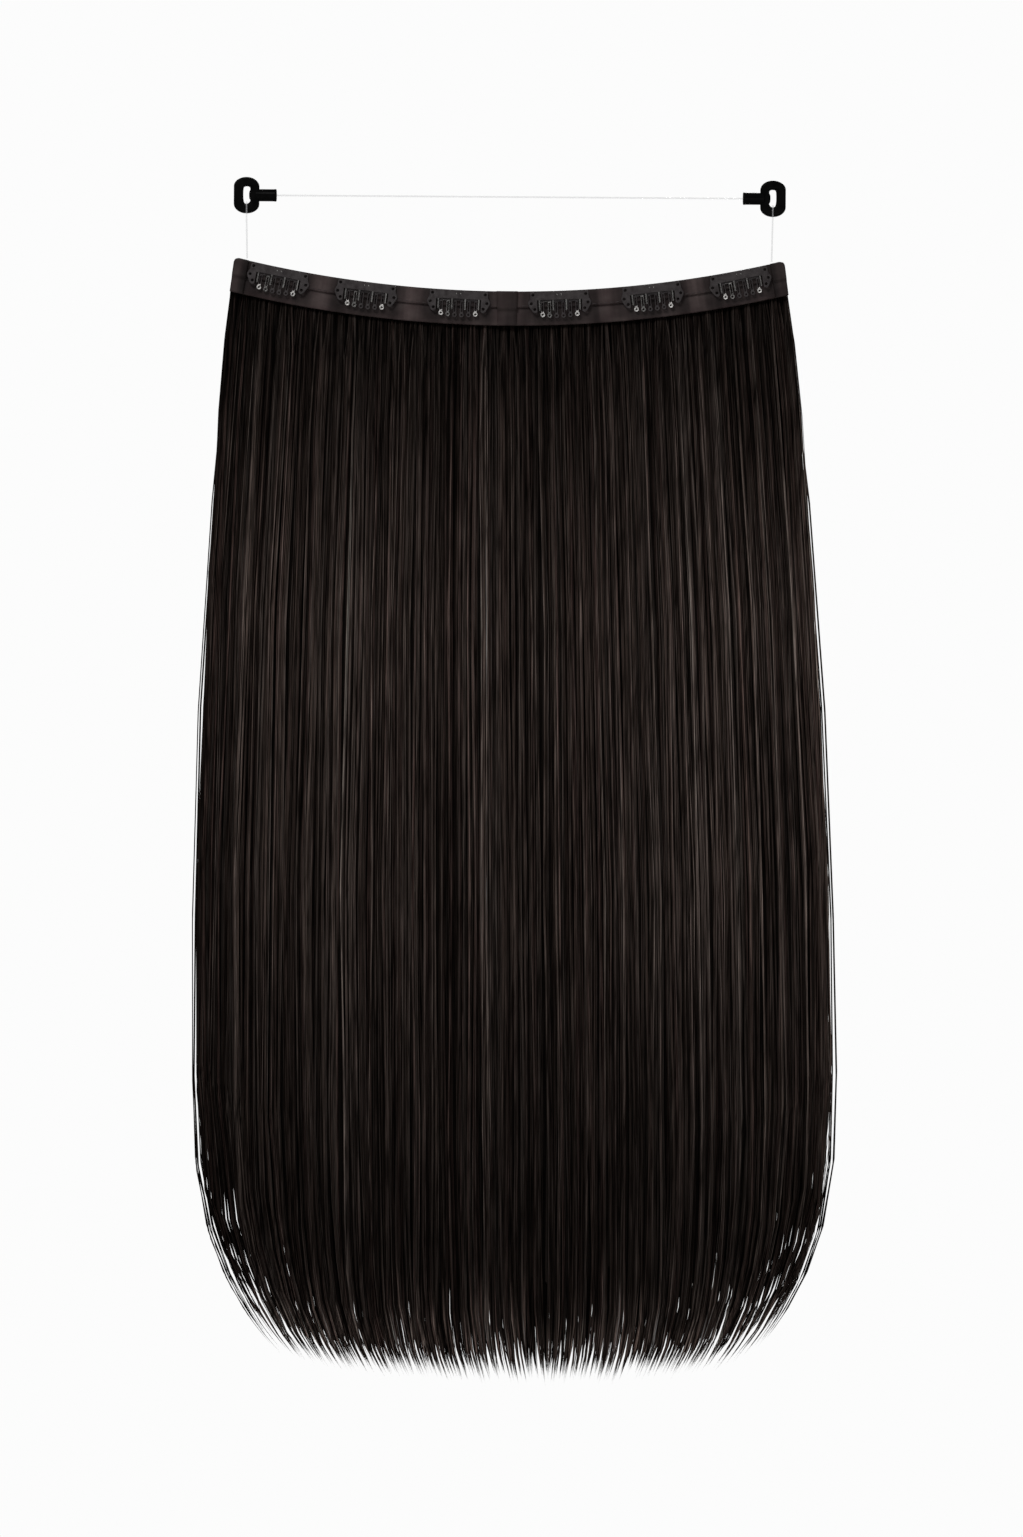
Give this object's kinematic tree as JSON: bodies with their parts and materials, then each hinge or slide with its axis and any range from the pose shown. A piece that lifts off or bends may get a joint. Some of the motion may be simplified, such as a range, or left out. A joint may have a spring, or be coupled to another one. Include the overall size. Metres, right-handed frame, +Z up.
{
  "type": "halo hair extension",
  "caption": "Curtain of straight dark hair sewn to a curved ribbon band with snap comb clips, hung from a clear head wire between plastic eyelets; worn round the head.",
  "frame": {"origin": "middle of the head wire, where the extension hangs on the head", "axes": "+X along the head wire to the right as seen from the clip side, +Y from the clip side to the outer hair side, +Z up"},
  "size_m": [0.321, 0.0138, 0.5969],
  "materials": {
    "ribbon": "satin ribbon, soft sheen",
    "clip_metal": "satin dark paint, worn bright on the tooth ends",
    "eyelet_plastic": "glossy black",
    "clear_nylon": "clear, glossy",
    "hair": "straight hair with a soft sheen"
  },
  "bodies": {
    "root": {"band": "ribbon", "upper_ribbon": "ribbon", "centre_tab": "ribbon", "end_tab_left": "ribbon", "end_tab_right": "ribbon", "clip_1_frame": "clip_metal", "clip_2_frame": "clip_metal", "clip_3_frame": "clip_metal", "clip_4_frame": "clip_metal", "clip_5_frame": "clip_metal", "clip_6_frame": "clip_metal", "eyelet_left": "eyelet_plastic", "eyelet_right": "eyelet_plastic", "head_wire": "clear_nylon", "side_wire_left": "clear_nylon", "side_wire_right": "clear_nylon", "hair": "hair"},
    "clip_1_comb": {"clip_1_comb": "clip_metal"},
    "clip_2_comb": {"clip_2_comb": "clip_metal"},
    "clip_3_comb": {"clip_3_comb": "clip_metal"},
    "clip_4_comb": {"clip_4_comb": "clip_metal"},
    "clip_5_comb": {"clip_5_comb": "clip_metal"},
    "clip_6_comb": {"clip_6_comb": "clip_metal"}
  },
  "joints": [
    {"name": "clip_1_snap", "type": "hinge", "parent": "root", "child": "clip_1_comb", "pos_m": [-0.11524, -0.00205, -0.04105], "axis": [-0.9811, 0, 0.1934], "range_deg": [0, 35]},
    {"name": "clip_2_snap", "type": "hinge", "parent": "root", "child": "clip_2_comb", "pos_m": [-0.07143, -0.00205, -0.048], "axis": [-0.9928, 0, 0.1198], "range_deg": [0, 35]},
    {"name": "clip_3_snap", "type": "hinge", "parent": "root", "child": "clip_3_comb", "pos_m": [-0.0252, -0.00205, -0.05177], "axis": [-0.9991, 0, 0.0423], "range_deg": [0, 35]},
    {"name": "clip_4_snap", "type": "hinge", "parent": "root", "child": "clip_4_comb", "pos_m": [0.0252, -0.00205, -0.05177], "axis": [-0.9991, 0, -0.0423], "range_deg": [0, 35]},
    {"name": "clip_5_snap", "type": "hinge", "parent": "root", "child": "clip_5_comb", "pos_m": [0.07143, -0.00205, -0.048], "axis": [-0.9928, 0, -0.1198], "range_deg": [0, 35]},
    {"name": "clip_6_snap", "type": "hinge", "parent": "root", "child": "clip_6_comb", "pos_m": [0.11524, -0.00205, -0.04105], "axis": [-0.9811, 0, -0.1934], "range_deg": [0, 35]}
  ]
}
